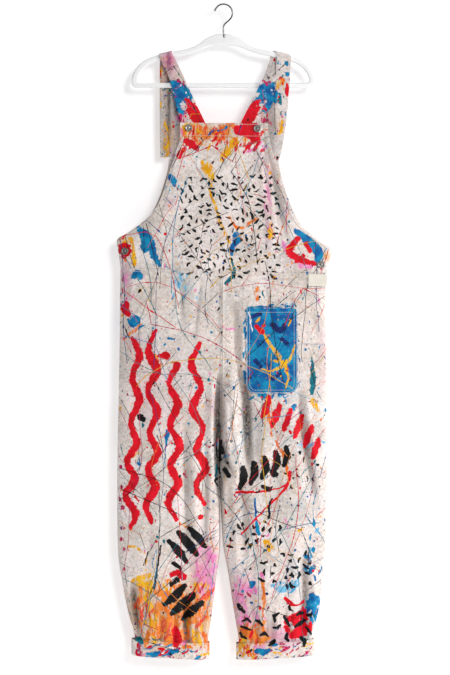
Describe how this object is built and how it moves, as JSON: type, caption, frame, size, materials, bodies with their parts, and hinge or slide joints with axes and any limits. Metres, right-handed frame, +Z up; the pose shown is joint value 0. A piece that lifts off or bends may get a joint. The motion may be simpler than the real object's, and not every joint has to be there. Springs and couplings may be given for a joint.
{
  "type": "bib overalls on a coat hanger",
  "caption": "Paint spattered canvas bib overalls with straps, pocket and turned-up hems, hanging flat on a white coat hanger.",
  "frame": {"origin": "inside top of the hanger's hook, where it rests on a rail", "axes": "+Z up along the hanging garment, +X to the right as seen from the front, -Y out of the garment's front"},
  "size_m": [0.5042, 0.0745, 1.5398],
  "materials": {
    "painted_canvas": "ecru cotton canvas, matte, spattered with many colours of paint",
    "strap_canvas": "doubled cotton canvas, matte, painted pink, blue and red",
    "pocket_canvas": "cotton canvas brushed over with blue paint",
    "label_cloth": "blank cream woven tape",
    "pewter": "dull pewter plated tack button",
    "hanger_plastic": "moulded translucent white plastic",
    "hook_steel": "bright plated wire"
  },
  "bodies": {
    "root": {"hanger_body": "hanger_plastic", "hanger_hook": "hook_steel", "bib_front": "painted_canvas", "bib_hem": "painted_canvas", "bib_back": "painted_canvas", "hip_front_left": "painted_canvas", "hip_front_right": "painted_canvas", "hip_back_left": "painted_canvas", "hip_back_right": "painted_canvas", "leg_front_left": "painted_canvas", "leg_front_right": "painted_canvas", "leg_back_left": "painted_canvas", "leg_back_right": "painted_canvas", "cuff_left": "painted_canvas", "cuff_right": "painted_canvas", "patch_pocket": "pocket_canvas", "strap_front_left": "strap_canvas", "strap_front_right": "strap_canvas", "strap_shoulder_left": "strap_canvas", "strap_shoulder_right": "strap_canvas", "strap_tail_left": "strap_canvas", "strap_tail_right": "strap_canvas", "waist_label": "label_cloth", "bib_button_left": "pewter", "bib_button_right": "pewter", "side_button_left": "pewter", "side_button_right": "pewter"}
  },
  "joints": []
}
